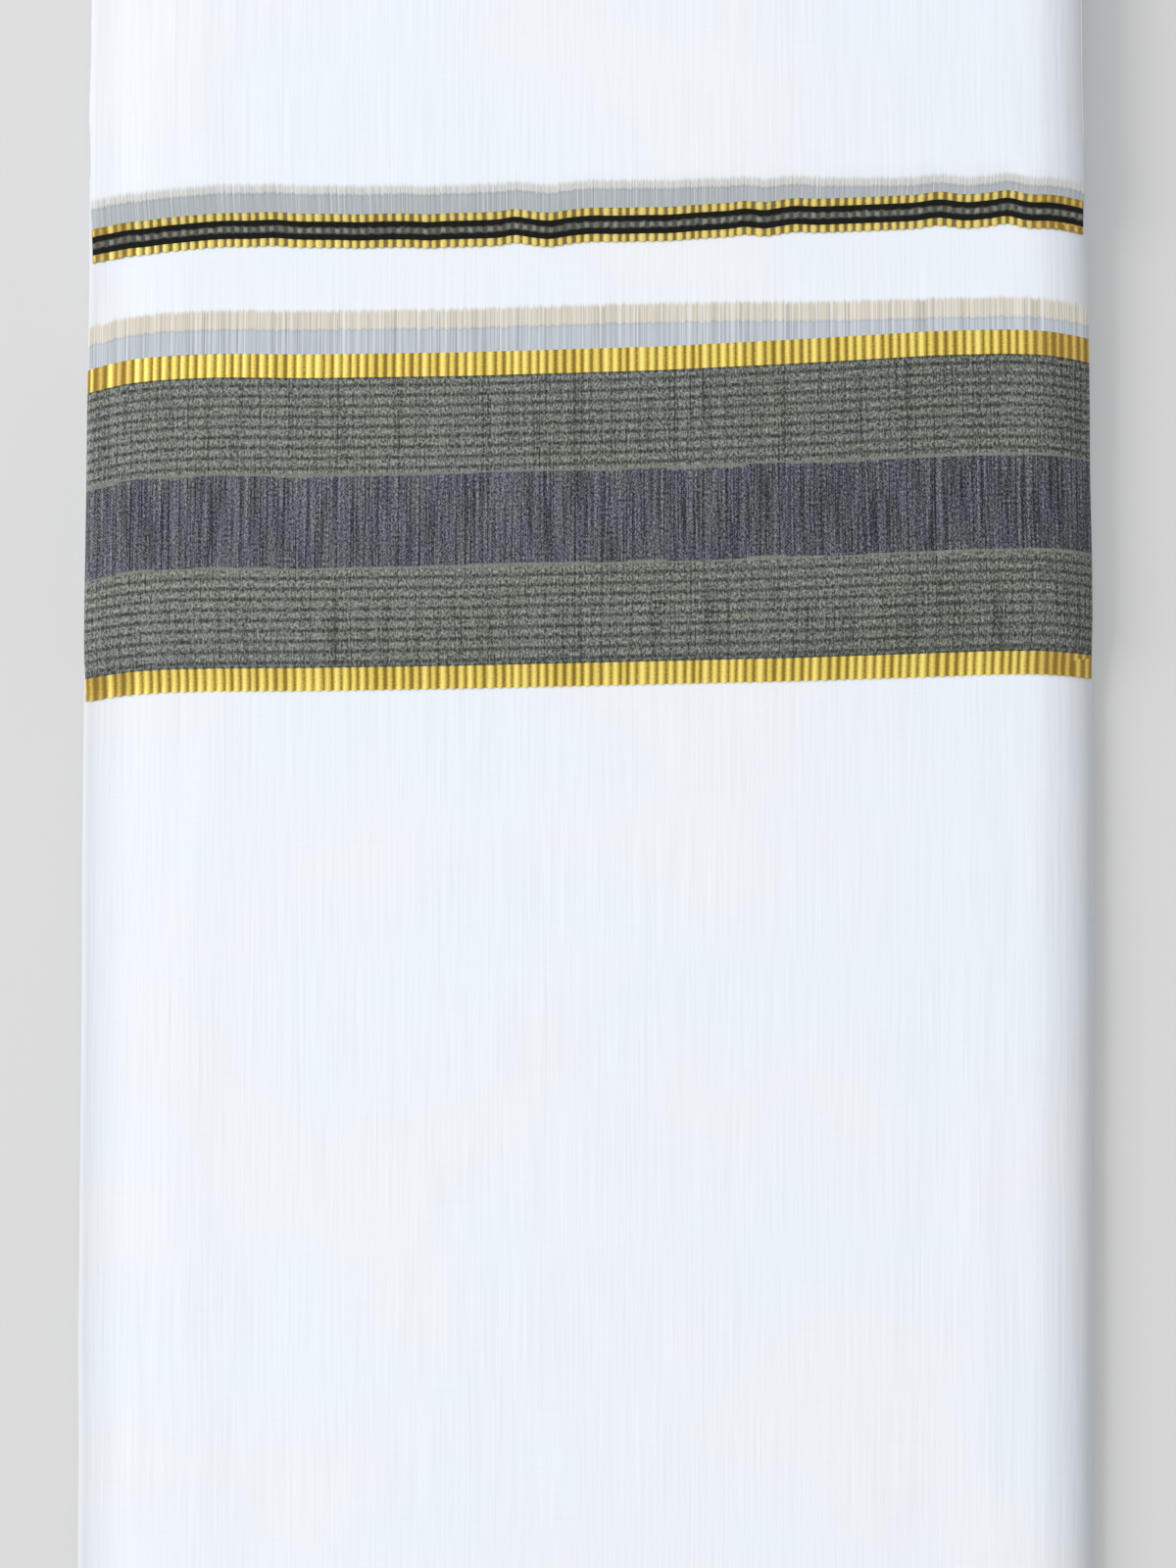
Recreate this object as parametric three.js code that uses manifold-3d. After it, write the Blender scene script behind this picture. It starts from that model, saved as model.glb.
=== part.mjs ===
// A dhoti folded for storage. The cloth is a long rectangle with a woven border along each selvage.
// It is folded in half four times along the borders, into a strip of sixteen layers. The strip is then
// folded twice across, so that both selvage ends come to the front, one below the other:
// the front flap lies on the under flap, which lies on the body, which lies on the back.
// X runs across the strip, Y along it towards the top fold, and Z up from the surface it rests on.

import * as THREE from "three";
import { mergeVertices } from "three/addons/utils/BufferGeometryUtils.js";
import Module from "manifold-3d";

const wasm = await Module();
wasm.setup();

// ---- Driving dimensions, in millimetres ----

const LAYERS = 16;
const LAYER = 0.256; // one layer of cotton with the air it holds
const STACK = LAYERS * LAYER;
const WALL = 1.2; // the layers that move together at each face that shows
const GAP = 0.3;

const HALF_LENGTH = 238; // from the middle to the top fold and to the bottom fold
const BODY_HALF = 117.7; // half width of the body and back
const UNDER_HALF = 116.9;
const FRONT_HALF = 115.6;

// The top fold turns round four stacks and the bottom fold round two.
const TOP_RADIUS = 2 * STACK;
const BOTTOM_RADIUS = STACK;
const TOP_TURN_Y = HALF_LENGTH - TOP_RADIUS;
const BOTTOM_TURN_Y = -HALF_LENGTH + BOTTOM_RADIUS;

// Towards its two sides the strip gets thinner, because the nested creases end short of the edge.
const SIDES = {
  left: { reach: 22, thinning: 0.26 },
  right: { reach: 14, thinning: 0.14 },
};

// The outer edge of a wall is rounded over its outer face.
const ROUNDING = { reach: 1.6, depth: 0.85 };

// A flap's selvage end rises from left to right and dips where it rounds the sides.
const FRONT_FLAP = {
  half: FRONT_HALF,
  stacks: 4,
  selvageY: 131.4,
  rise: 6.7,
  spread: 0,
  dips: { left: 1.0, right: 0.7, reach: 9 },
};
const UNDER_FLAP = {
  half: UNDER_HALF,
  stacks: 3,
  selvageY: 29.0,
  rise: 5.5,
  spread: 0.018,
  dips: { left: 0.9, right: 0.8, reach: 10 },
};

// Near its selvage a flap droops from the height of its stack to lie on the cloth below. The stops are
// the distances in from the selvage at which the drooping surface is cut into rows.
const DROOP = 15;
const DROOP_STOPS = [3, 6, 9, 12, DROOP];

// Woven bands, listed from the selvage inwards.
const NARROW_BORDER = [
  { name: "narrow_border_lower_zari", width: 2.0, material: "zari" },
  { name: "narrow_border_stripe", width: 3.6, material: "stripe" },
  { name: "narrow_border_upper_zari", width: 1.9, material: "zari" },
];
const WIDE_BORDER = [
  { name: "wide_border_lower_zari", width: 5.3, material: "zari" },
  { name: "wide_border_lower_check", width: 22.3, material: "check" },
  { name: "wide_border_centre", width: 22.4, material: "melange" },
  { name: "wide_border_upper_check", width: 22.3, material: "check" },
  { name: "wide_border_upper_zari", width: 5.5, material: "zari" },
];
const UNDERLAP = 8; // how far a wall runs on beneath the flap that covers it

// Creased edges of one stack, as shares of its thickness from its outer face: the left edge is one
// roll of eight nested layers, and the right edge has nested folds and the two cut ends.
const LEFT_ROLLS = [1];
const RIGHT_LIPS = [0.5, 0.25, 0.125, 0.125];
const ROLL_DEPTH = 1.1;
const LIP_DEPTH = 0.8;

// ---- Materials ----

const MATERIALS = {
  cotton: { color: 0xeef3f8, roughness: 0.9, metalness: 0 },
  zari: { color: 0xcbb258, roughness: 0.42, metalness: 0.6 },
  stripe: { color: 0x3c3a36, roughness: 0.85, metalness: 0 },
  check: { color: 0x6f736d, roughness: 0.88, metalness: 0 },
  melange: { color: 0x585e68, roughness: 0.88, metalness: 0 },
};

// ---- Form ----

const clamp01 = (value) => Math.min(1, Math.max(0, value));
const mix = (a, b, share) => a + (b - a) * share;
const ease = (share) => clamp01(share) ** 2 * (3 - 2 * clamp01(share));

// Share of the full thickness that is left at x.
function fullness(x) {
  const side = x < 0 ? SIDES.left : SIDES.right;
  const into = clamp01((Math.abs(x) - (BODY_HALF - side.reach)) / side.reach);
  return 1 - side.thinning * into ** 2;
}

// How far the rounded edge of a wall lies below its outer face.
function rounding(x, half) {
  const into = clamp01((Math.abs(x) - (half - ROUNDING.reach)) / ROUNDING.reach);
  return ROUNDING.depth * (1 - Math.sqrt(1 - into ** 2));
}

// Places across the strip: close together at the rounded edges, wide apart in the middle.
function stationsAcross(half) {
  const inward = [0, 0.25, 0.8, ROUNDING.reach, 5, 11, SIDES.left.reach];
  const left = inward.map((distance) => -half + distance);
  const right = [...inward].reverse().map((distance) => half - distance);
  const middle = [-60, -20, 20, 60];
  return [...left, ...middle, ...right];
}

function selvageY(flap, x) {
  const into = clamp01((Math.abs(x) - (flap.half - flap.dips.reach)) / flap.dips.reach);
  const dip = (x < 0 ? flap.dips.left : flap.dips.right) * into ** 2;
  return flap.selvageY + (flap.rise * x) / (2 * flap.half) - dip;
}

// Height of a flap's outer face at x, a distance in from its selvage.
function flapHeight(flap, x, distance) {
  const lying = (flap.stacks - 1) * STACK * fullness(x) + GAP + WALL;
  const full = flap.stacks * STACK * fullness(x);
  return mix(lying, full, ease(distance / DROOP));
}

// ---- Walls ----

// One row of a wall: for each place across, a point of the outer face and one of the inner face.
// place gives the untouched outer point and the direction out of the cloth in the YZ plane.
function wallRow(half, place) {
  return stationsAcross(half).map((x) => {
    const { y, z, outY, outZ } = place(x);
    const cut = rounding(x, half);
    return {
      outer: new THREE.Vector3(x, y - outY * cut, z - outZ * cut),
      inner: new THREE.Vector3(x, y - outY * WALL, z - outZ * WALL),
    };
  });
}

// A closed body between the outer and inner points of the rows.
function wallGeometry(rows) {
  const columns = rows[0].length;
  const positions = [];
  for (const face of ["outer", "inner"]) {
    for (const row of rows) {
      for (const point of row) {
        positions.push(...point[face].toArray());
      }
    }
  }
  const layer = rows.length * columns;
  const at = (face, row, column) => face * layer + row * columns + column;
  const index = [];
  const quad = (a, b, c, d) => index.push(a, b, c, a, c, d);
  for (let row = 0; row < rows.length - 1; row += 1) {
    for (let column = 0; column < columns - 1; column += 1) {
      const corners = [
        [row, column],
        [row, column + 1],
        [row + 1, column + 1],
        [row + 1, column],
      ];
      quad(...corners.map(([r, c]) => at(0, r, c)));
      quad(...corners.reverse().map(([r, c]) => at(1, r, c)));
    }
  }
  const last = rows.length - 1;
  for (let column = 0; column < columns - 1; column += 1) {
    quad(at(0, 0, column + 1), at(0, 0, column), at(1, 0, column), at(1, 0, column + 1));
    quad(at(0, last, column), at(0, last, column + 1), at(1, last, column + 1), at(1, last, column));
  }
  const end = columns - 1;
  for (let row = 0; row < last; row += 1) {
    quad(at(0, row, 0), at(0, row + 1, 0), at(1, row + 1, 0), at(1, row, 0));
    quad(at(0, row + 1, end), at(0, row, end), at(1, row, end), at(1, row + 1, end));
  }
  return geometryFrom(positions, index);
}

function geometryFrom(positions, index) {
  const geometry = new THREE.BufferGeometry();
  geometry.setAttribute("position", new THREE.Float32BufferAttribute(positions, 3));
  geometry.setIndex(index);
  geometry.computeVertexNormals();
  return geometry;
}

// A row of a flap, a distance in from its selvage.
function flapRow(flap, distance) {
  return wallRow(flap.half, (x) => ({
    y: selvageY(flap, x) + distance * (1 + (flap.spread * x) / flap.half),
    z: flapHeight(flap, x, distance),
    outY: 0,
    outZ: 1,
  }));
}

// A woven band of a flap, from one distance in from the selvage to another.
function bandWall(flap, from, to) {
  const between = DROOP_STOPS.filter((distance) => distance > from + 0.5 && distance < to - 0.5);
  return wallGeometry([from, ...between, to].map((distance) => flapRow(flap, distance)));
}

// The white of the front flap, from its border up to where the top fold starts to turn.
function frontFlapWall(from) {
  const drooping = DROOP_STOPS.filter((distance) => distance > from);
  const rows = [from, ...drooping].map((distance) => flapRow(FRONT_FLAP, distance));
  const last = wallRow(FRONT_HALF, (x) => ({
    y: TOP_TURN_Y,
    z: FRONT_FLAP.stacks * STACK * fullness(x),
    outY: 0,
    outZ: 1,
  }));
  return wallGeometry([...rows, last]);
}

// The white of the under flap, from its border up to a little way under the front flap.
function underFlapWall(from) {
  const shares = [0, 0.5, 1];
  return wallGeometry(
    shares.map((share) =>
      wallRow(UNDER_HALF, (x) => {
        const start = selvageY(UNDER_FLAP, x) + from * (1 + (UNDER_FLAP.spread * x) / UNDER_HALF);
        const y = mix(start, selvageY(FRONT_FLAP, x) + UNDERLAP, share);
        return { y, z: UNDER_FLAP.stacks * STACK * fullness(x), outY: 0, outZ: 1 };
      }),
    ),
  );
}

// The body, from where the bottom fold ends up to a little way under the under flap.
function bodyWall() {
  const shares = [0, 0.5, 1];
  return wallGeometry(
    shares.map((share) =>
      wallRow(BODY_HALF, (x) => ({
        y: mix(BOTTOM_TURN_Y + GAP, selvageY(UNDER_FLAP, x) + UNDERLAP, share),
        z: 2 * STACK * fullness(x),
        outY: 0,
        outZ: 1,
      })),
    ),
  );
}

// The back lies flat on the surface.
function backWall() {
  const ends = [TOP_TURN_Y - GAP, BOTTOM_TURN_Y + GAP];
  return wallGeometry(ends.map((y) => wallRow(BODY_HALF, () => ({ y, z: 0, outY: 0, outZ: -1 }))));
}

// A fold that turns half round from one face to the opposite one.
function foldWall({ turnY, radius, startHalf, endHalf, startAngle, trim }) {
  const steps = 8;
  const rows = [];
  for (let step = 0; step <= steps; step += 1) {
    const angle = startAngle + Math.PI * mix(trim, 1, step / steps);
    const half = mix(startHalf, endHalf, step / steps);
    rows.push(
      wallRow(half, (x) => {
        const middle = radius * fullness(x);
        return {
          y: turnY + radius * Math.sin(angle),
          z: middle + middle * Math.cos(angle),
          outY: Math.sin(angle),
          outZ: Math.cos(angle),
        };
      }),
    );
  }
  return wallGeometry(rows);
}

// ---- Hidden layers ----

// The creased side of the stacks between two heights, from the bottom up: points inset from the edge.
// halves holds the half width of each stack, and lips its creases as shares of its thickness.
function layeredSide(halves, lips, depth, low, high, perStack) {
  const points = [];
  halves.forEach((half, stack) => {
    const outward = stack === 1 || stack === 3;
    const order = outward ? [...lips].reverse() : lips;
    let start = stack * perStack;
    for (const lip of order) {
      const height = lip * perStack;
      for (const [share, inset] of [[0, depth], [0.2, 0.4 * depth], [0.5, 0.25], [0.8, 0.4 * depth]]) {
        points.push({ inset: BODY_HALF - half + Math.max(inset, 0.25), z: start + share * height });
      }
      start += height;
    }
  });
  const margin = 0.06;
  const inside = points.filter((point) => point.z > low + margin && point.z < high - margin);
  const bottom = { inset: BODY_HALF - halves[0] + depth, z: low };
  const top = { inset: BODY_HALF - halves[halves.length - 1] + depth, z: high };
  return [bottom, ...inside, top];
}

// The outline of the hidden layers of some stacks, seen along the strip, anticlockwise from below left.
function hiddenOutline(halves) {
  const stacks = halves.length;
  const low = WALL + GAP;
  const heightAt = (x) => stacks * STACK * fullness(x) - WALL - GAP;
  const sidePoints = (sign, lips, depth) => {
    const perStack = STACK * fullness(sign * BODY_HALF);
    const high = stacks * perStack - WALL - GAP;
    return layeredSide(halves, lips, depth, low, high, perStack).map(({ inset, z }) => ({
      x: sign * (BODY_HALF - inset),
      z,
    }));
  };
  const across = [-106.7, -95.7, -40, 40, 95.7, 106.7];
  const below = across.map((x) => ({ x, z: low }));
  const above = [...across].reverse().map((x) => ({ x, z: heightAt(x) }));
  const right = sidePoints(1, RIGHT_LIPS, LIP_DEPTH);
  const left = sidePoints(-1, LEFT_ROLLS, ROLL_DEPTH).reverse();
  return [...below, ...right, ...above, ...left];
}

// A loft through rings of equally many points, closed by a flat cap at each end.
function loftSolid(rings, outline) {
  const count = outline.length;
  const positions = rings.flatMap((ring) => ring.flatMap((point) => point.toArray()));
  const flat = outline.map(({ x, z }) => new THREE.Vector2(x, z));
  const cap = THREE.ShapeUtils.triangulateShape(flat, []);
  const index = [];
  for (const [a, b, c] of cap) {
    const end = (rings.length - 1) * count;
    index.push(a, b, c, end + a, end + c, end + b);
  }
  for (let ring = 0; ring < rings.length - 1; ring += 1) {
    for (let point = 0; point < count; point += 1) {
      const next = (point + 1) % count;
      const here = ring * count;
      const there = here + count;
      index.push(here + point, there + point, there + next);
      index.push(here + point, there + next, here + next);
    }
  }
  return new wasm.Manifold(
    new wasm.Mesh({
      numProp: 3,
      vertProperties: new Float32Array(positions),
      triVerts: new Uint32Array(index),
    }),
  );
}

// A ring of an outline at a place along the strip, squeezed towards its middle height for a turned end.
function ringAt(outline, stacks, yAt, squeeze = 1, shrink = 0) {
  return outline.map(({ x, z }) => {
    const middle = (stacks * STACK * fullness(x)) / 2;
    return new THREE.Vector3(x * (1 - shrink), yAt(x), middle + (z - middle) * squeeze * (1 - 20 * shrink));
  });
}

// A ring under a flap's droop, where the layers of its top stack are pressed together.
function droopingRing(outline, flap, distance) {
  return outline.map(({ x, z }) => {
    const base = (flap.stacks - 1) * STACK * fullness(x);
    const full = flap.stacks * STACK * fullness(x) - WALL - GAP - base;
    const left = flapHeight(flap, x, distance) - WALL - GAP - base;
    const height = z > base ? base + ((z - base) * left) / full : z;
    return new THREE.Vector3(x, selvageY(flap, x) + distance, height);
  });
}

// Rings round a turned end: towards +Y at the top fold, towards -Y at the bottom fold.
function turnedEnd(outline, stacks, turnY, direction) {
  const radius = (stacks * STACK) / 2 - WALL - GAP;
  const angles = [0, 30, 55, 75].map(THREE.MathUtils.degToRad);
  return angles.map((angle) => {
    const y = turnY + direction * radius * Math.sin(angle);
    return ringAt(outline, stacks, () => y, Math.cos(angle));
  });
}

// The layers that nothing shows of share one solid. It steps up where each flap's stack begins.
function hiddenLayers() {
  const body = [BODY_HALF, BODY_HALF];
  const under = [...body, UNDER_HALF];
  const front = [...under, FRONT_HALF];
  const setBack = UNDERLAP + 1;
  const overlap = 1.5;
  const shrink = 0.0006;
  const bodyOutline = hiddenOutline(body);
  const underOutline = hiddenOutline(under);
  const frontOutline = hiddenOutline(front);
  const rise = (outline, flap) =>
    DROOP_STOPS.filter((distance) => distance >= setBack).map((distance) =>
      droopingRing(outline, flap, distance),
    );
  // The lower of two stacks runs on a little inside the next one, just inside its sides.
  const tuckedUnder = (outline, stacks, flap) => {
    const start = (x) => selvageY(flap, x) + setBack;
    return [
      ringAt(outline, stacks, (x) => start(x) + 0.2),
      ringAt(outline, stacks, (x) => start(x) + 0.3, 1, shrink),
      ringAt(outline, stacks, (x) => start(x) + overlap, 1, shrink),
    ];
  };
  const bodySolid = loftSolid(
    [
      ...turnedEnd(bodyOutline, 2, BOTTOM_TURN_Y, -1).reverse(),
      ...tuckedUnder(bodyOutline, 2, UNDER_FLAP),
    ],
    bodyOutline,
  );
  const underSolid = loftSolid(
    [...rise(underOutline, UNDER_FLAP), ...tuckedUnder(underOutline, 3, FRONT_FLAP)],
    underOutline,
  );
  const frontSolid = loftSolid(
    [...rise(frontOutline, FRONT_FLAP), ...turnedEnd(frontOutline, 4, TOP_TURN_Y, 1)],
    frontOutline,
  );
  const joined = bodySolid.add(underSolid).add(frontSolid).getMesh();
  return geometryFrom([...joined.vertProperties], [...joined.triVerts]);
}

// ---- Assembly ----

const dhoti = new THREE.Group();

function addPiece(name, geometry, material) {
  const mesh = new THREE.Mesh(geometry, new THREE.MeshStandardMaterial(MATERIALS[material]));
  mesh.name = name;
  dhoti.add(mesh);
}

// The bands of a border, GAP apart. It returns the distance from the selvage at which the border ends.
function addBorder(flap, bands) {
  let from = 0;
  for (const { name, width, material } of bands) {
    addPiece(name, bandWall(flap, from, from + width - GAP), material);
    from += width;
  }
  return from;
}

const narrowWidth = addBorder(FRONT_FLAP, NARROW_BORDER);
const wideWidth = addBorder(UNDER_FLAP, WIDE_BORDER);
addPiece("front_flap", frontFlapWall(narrowWidth), "cotton");
addPiece("under_flap", underFlapWall(wideWidth), "cotton");
addPiece("front_body", bodyWall(), "cotton");
addPiece("back_panel", backWall(), "cotton");
addPiece(
  "top_fold",
  foldWall({
    turnY: TOP_TURN_Y,
    radius: TOP_RADIUS,
    startHalf: FRONT_HALF,
    endHalf: BODY_HALF,
    startAngle: 0,
    trim: 0.012,
  }),
  "cotton",
);
addPiece(
  "bottom_fold",
  foldWall({
    turnY: BOTTOM_TURN_Y,
    radius: BOTTOM_RADIUS,
    startHalf: BODY_HALF,
    endHalf: BODY_HALF,
    startAngle: Math.PI,
    trim: 0,
  }),
  "cotton",
);
addPiece("hidden_layers", hiddenLayers(), "cotton");

export default dhoti;
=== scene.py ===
"""A folded white dhoti with a narrow and a wide woven border, lying on a pale floor.

Lengths are in millimetres until a mesh is made, and every place is worked out from the frame.
The strip of sixteen layers runs from the front flap's selvage up to the top fold, down the back, round
the bottom fold, up the body, round inside the top fold and down to the under flap's selvage.
"""

import math

import bpy
import numpy as np
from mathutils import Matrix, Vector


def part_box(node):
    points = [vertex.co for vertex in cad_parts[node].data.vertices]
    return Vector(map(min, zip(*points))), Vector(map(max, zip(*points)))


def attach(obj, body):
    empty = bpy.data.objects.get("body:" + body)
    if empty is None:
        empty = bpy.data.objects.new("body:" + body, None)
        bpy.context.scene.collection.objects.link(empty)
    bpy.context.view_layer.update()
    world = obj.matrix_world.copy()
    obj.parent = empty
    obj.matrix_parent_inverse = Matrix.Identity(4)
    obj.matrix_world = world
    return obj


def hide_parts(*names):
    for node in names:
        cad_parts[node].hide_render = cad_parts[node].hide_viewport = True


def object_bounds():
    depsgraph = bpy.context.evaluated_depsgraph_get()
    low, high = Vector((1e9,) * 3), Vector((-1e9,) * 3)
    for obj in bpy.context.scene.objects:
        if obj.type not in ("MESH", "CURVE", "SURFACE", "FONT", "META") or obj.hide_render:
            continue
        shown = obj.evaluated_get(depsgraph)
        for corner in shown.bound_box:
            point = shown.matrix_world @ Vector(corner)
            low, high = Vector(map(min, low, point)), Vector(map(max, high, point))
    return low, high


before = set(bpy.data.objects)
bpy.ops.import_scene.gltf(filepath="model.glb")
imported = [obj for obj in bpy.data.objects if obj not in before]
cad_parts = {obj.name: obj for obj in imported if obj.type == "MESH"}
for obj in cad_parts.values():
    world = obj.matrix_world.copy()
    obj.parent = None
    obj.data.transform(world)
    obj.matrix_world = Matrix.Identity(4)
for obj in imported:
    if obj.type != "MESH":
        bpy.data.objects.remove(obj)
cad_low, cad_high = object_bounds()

MM = 0.001

# ---- Sizes from the frame ----

STACKS = 4  # under the front flap, each of sixteen layers
STACK = cad_high.z / MM / STACKS
BODY_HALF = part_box("front_body")[1].x / MM
UNDER_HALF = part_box("under_flap")[1].x / MM
FRONT_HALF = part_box("front_flap")[1].x / MM
HALF_LENGTH = cad_high.y / MM
TOP_TURN_Y = HALF_LENGTH - 2 * STACK
BOTTOM_TURN_Y = -HALF_LENGTH + STACK

# The layers get thinner towards the two sides, where the nested creases end short of the edge.
LEFT_REACH, LEFT_THINNING = 22.0, 0.13
RIGHT_REACH, RIGHT_THINNING = 14.0, 0.14

# Along the right side the strip has a rounded shoulder. Its depth is a share of the height there, and it
# gets less from the bare body up to the flaps.
RIGHT_ROUND = 16.0
ROUND_LIMIT = 0.985  # keeps the shoulder's slope finite at the edge
BARE_SHOULDER, COVERED_SHOULDER = 0.52, 0.30
SHOULDER_CHANGE_Y, SHOULDER_CHANGE = 20.0, 110.0

# ---- Sizes of the cloth ----

SHELL = 0.2  # thickness of one drawn layer
RIB_PITCH = 2.09  # the zari's ribs
RIB_HEIGHT = 0.16
DROOP = 15.0  # how far in from its selvage a flap starts to come down
LIFT = 0.3  # height of a selvage above the cloth that it lies on
TIGHTEST = 0.04  # radius of the innermost layer in a fold, as a share of a stack
CUT_WIDTH = 1270.0  # from selvage to selvage
TAIL = 5.0  # how far a turned edge runs on inside
BODY_LIP = 0.5  # thickness of the outermost fold on the right, as a share of a stack
UNDER_LIP = 0.25
BODY_END = 52.0  # where the body goes out of sight under the under flap
UNDER_END = 124.0  # where the under flap goes out of sight, as a distance from its selvage

NARROW_BANDS = {"lower_zari": (0.0, 1.8), "stripe": (1.8, 5.75), "upper_zari": (5.75, 7.35)}
WIDE_BANDS = {
    "lower_zari": (0.0, 5.3),
    "lower_check": (5.3, 27.6),
    "centre": (27.6, 50.0),
    "upper_check": (50.0, 72.3),
    "upper_zari": (72.3, 77.8),
}
NARROW_WIDTH = NARROW_BANDS["upper_zari"][1]
WIDE_WIDTH = WIDE_BANDS["upper_zari"][1]

# Straight lines that the weave follows: Y in the middle, and the rise for each millimetre to the right.
FRONT_END_Y, FRONT_END_RISE = 131.4, 0.029
UNDER_END_Y, UNDER_END_RISE = 29.0, 0.0236
WIDE_TOP_Y, WIDE_TOP_RISE = 106.8, 0.0300
PUCKER_REACH = 45.0  # how far up the front flap its wavy selvage still shows

# Lines of the weave at places across the strip: how far each lies above or below a straight line.
LINE_X = (-118, -112, -106, -98, -85, -65, -30, 15, 50, 80, 95, 105, 112, 118)
NARROW_LINE = (-1.6, -1.0, -0.1, 0.35, 1.2, 0.35, -0.5, -0.35, 0.4, 0.7, 0.7, 0.2, -0.5, -1.0)
WIDE_TOP_LINE = (-1.8, -0.5, 0.5, 0.9, 1.1, 0.3, -0.28, -0.3, 0.45, 1.4, 1.3, 0.8, -0.1, -0.6)
WIDE_END_LINE = (-1.3, -0.4, 0.2, 0.55, 0.48, 0.12, -0.18, -0.22, -0.28, 0.0, 0.18, 0.0, -0.6, -1.0)

# How much wider or narrower the strip is to the left and right of the middle, at places along it.
SIDE_Y = (-238, -172, -106, -40, 10, 60, 123, 165, 238)
LEFT_WIDER = (-0.005, -0.004, -0.003, -0.002, -0.001, -0.005, -0.006, -0.005, -0.005)
RIGHT_WIDER = (-0.010, -0.009, -0.005, 0.003, 0.005, 0.004, -0.001, -0.009, -0.011)
SIDE_WANDER = 0.0016

# Puckers of the narrow selvage: place across, height and half width.
NARROW_PUCKERS = (
    (-103, -0.20, 3.0),
    (-73, 0.35, 4.0),
    (-53, -0.20, 4.0),
    (-37, -0.25, 3.0),
    (-17, 0.55, 2.6),
    (-9, -0.60, 3.6),
    (1, 0.25, 4.0),
    (19, -0.20, 4.5),
    (36, 0.35, 2.6),
    (41, -0.25, 2.2),
    (48, 0.40, 3.2),
    (81, 0.60, 3.6),
    (88, -0.25, 3.0),
    (97, 0.65, 2.8),
    (103, -0.30, 3.0),
)

# Soft creases of the faces: middle (x, y), direction in degrees, half length, half width and height.
# Negative heights are troughs.
BODY_CREASES = (
    (-86, -60, 88, 105, 6.0, 0.22),
    (-71, -140, 93, 70, 9.0, -0.20),
    (96, -70, 91, 120, 5.0, 0.18),
    (84, -110, 87, 85, 6.5, -0.16),
    (30, -35, 14, 55, 9.0, 0.16),
    (-35, -78, 168, 60, 11.0, -0.18),
    (52, -128, 24, 48, 10.0, 0.15),
    (-22, -170, 172, 66, 12.0, -0.17),
    (8, 2, 5, 70, 6.0, -0.12),
    (-58, -16, 178, 40, 7.0, 0.13),
    (60, -196, 8, 52, 10.0, 0.18),
    (-64, -212, 176, 44, 8.0, 0.16),
)
FLAP_CREASES = (
    (-88, 190, 90, 48, 6.0, 0.20),
    (97, 185, 91, 46, 5.0, 0.18),
    (-40, 172, 6, 52, 6.0, -0.14),
    (45, 166, 3, 44, 5.5, 0.13),
    (10, 206, 176, 62, 8.0, -0.16),
    (-66, 218, 12, 34, 7.0, 0.16),
    (70, 214, 170, 36, 8.0, 0.14),
)
UNDER_CREASES = (
    (-90, 84, 92, 50, 6.0, 0.18),
    (98, 90, 90, 46, 5.0, 0.16),
    (-20, 112, 3, 60, 5.0, 0.10),
    (40, 62, 2, 60, 9.0, -0.12),
    (-60, 48, 1, 44, 7.0, 0.10),
)
BACK_CREASES = (
    (-80, 20, 91, 130, 7.0, 0.16),
    (86, -30, 89, 140, 6.0, 0.14),
    (-20, 90, 12, 60, 10.0, 0.18),
    (36, -96, 170, 58, 11.0, 0.18),
    (-10, -10, 176, 74, 9.0, 0.12),
)


# ---- Small functions ----


def ease(share):
    share = np.clip(share, 0, 1)
    return share**2 * (3 - 2 * share)


def mix(a, b, share):
    return a + (b - a) * share


def wander(x, seed, pitch):
    """A slow wave from -1 to 1 that doesn't repeat, the same at each run."""
    turns = (1.0, 1.73, 2.91, 4.37)
    weights = (0.45, 0.27, 0.18, 0.10)
    return sum(
        weight * np.sin(2 * math.pi * turn * x / pitch + seed * (2.3 + 1.7 * turn))
        for turn, weight in zip(turns, weights)
    )


def fullness(x, y=0.0):
    """The share of a stack's full thickness that is left at a place."""
    left = np.clip((-x - (BODY_HALF - LEFT_REACH)) / LEFT_REACH, 0, 1)
    right = np.clip((x - (BODY_HALF - RIGHT_REACH)) / RIGHT_REACH, 0, 1)
    bend = np.clip((x - (BODY_HALF - RIGHT_ROUND)) / RIGHT_ROUND, 0, ROUND_LIMIT)
    covered = ease((y - SHOULDER_CHANGE_Y) / SHOULDER_CHANGE)
    shoulder = mix(BARE_SHOULDER, COVERED_SHOULDER, covered)
    plain = 1 - LEFT_THINNING * left**2 - RIGHT_THINNING * right**2
    return plain - shoulder * (1 - np.sqrt(1 - bend**2))


def smooth_line(x, values):
    """The line through LINE_X and values, rounded off at its corners."""
    reach = 3.0
    offsets = (-reach, -reach / 2, 0.0, reach / 2, reach)
    return sum(np.interp(x + offset, LINE_X, values) for offset in offsets) / len(offsets)


def front_selvage(x):
    """Y of the front flap's selvage."""
    puckers = sum(height * np.exp(-(((x - at) / width) ** 2)) for at, height, width in NARROW_PUCKERS)
    return FRONT_END_Y + FRONT_END_RISE * x + smooth_line(x, NARROW_LINE) + puckers


def under_place(x, distance):
    """Y of the under flap, a distance in from its selvage."""
    share = distance / WIDE_WIDTH
    low = UNDER_END_Y + UNDER_END_RISE * x + smooth_line(x, WIDE_END_LINE)
    high = WIDE_TOP_Y + WIDE_TOP_RISE * x + smooth_line(x, WIDE_TOP_LINE)
    return mix(low, high, share)


def front_place(x, distance):
    """Y of the front flap, a distance in from its selvage. The puckers die away up the flap."""
    straight = FRONT_END_Y + FRONT_END_RISE * x
    left_over = np.exp(-((distance / PUCKER_REACH) ** 2))
    return straight + distance + (front_selvage(x) - straight) * left_over


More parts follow.
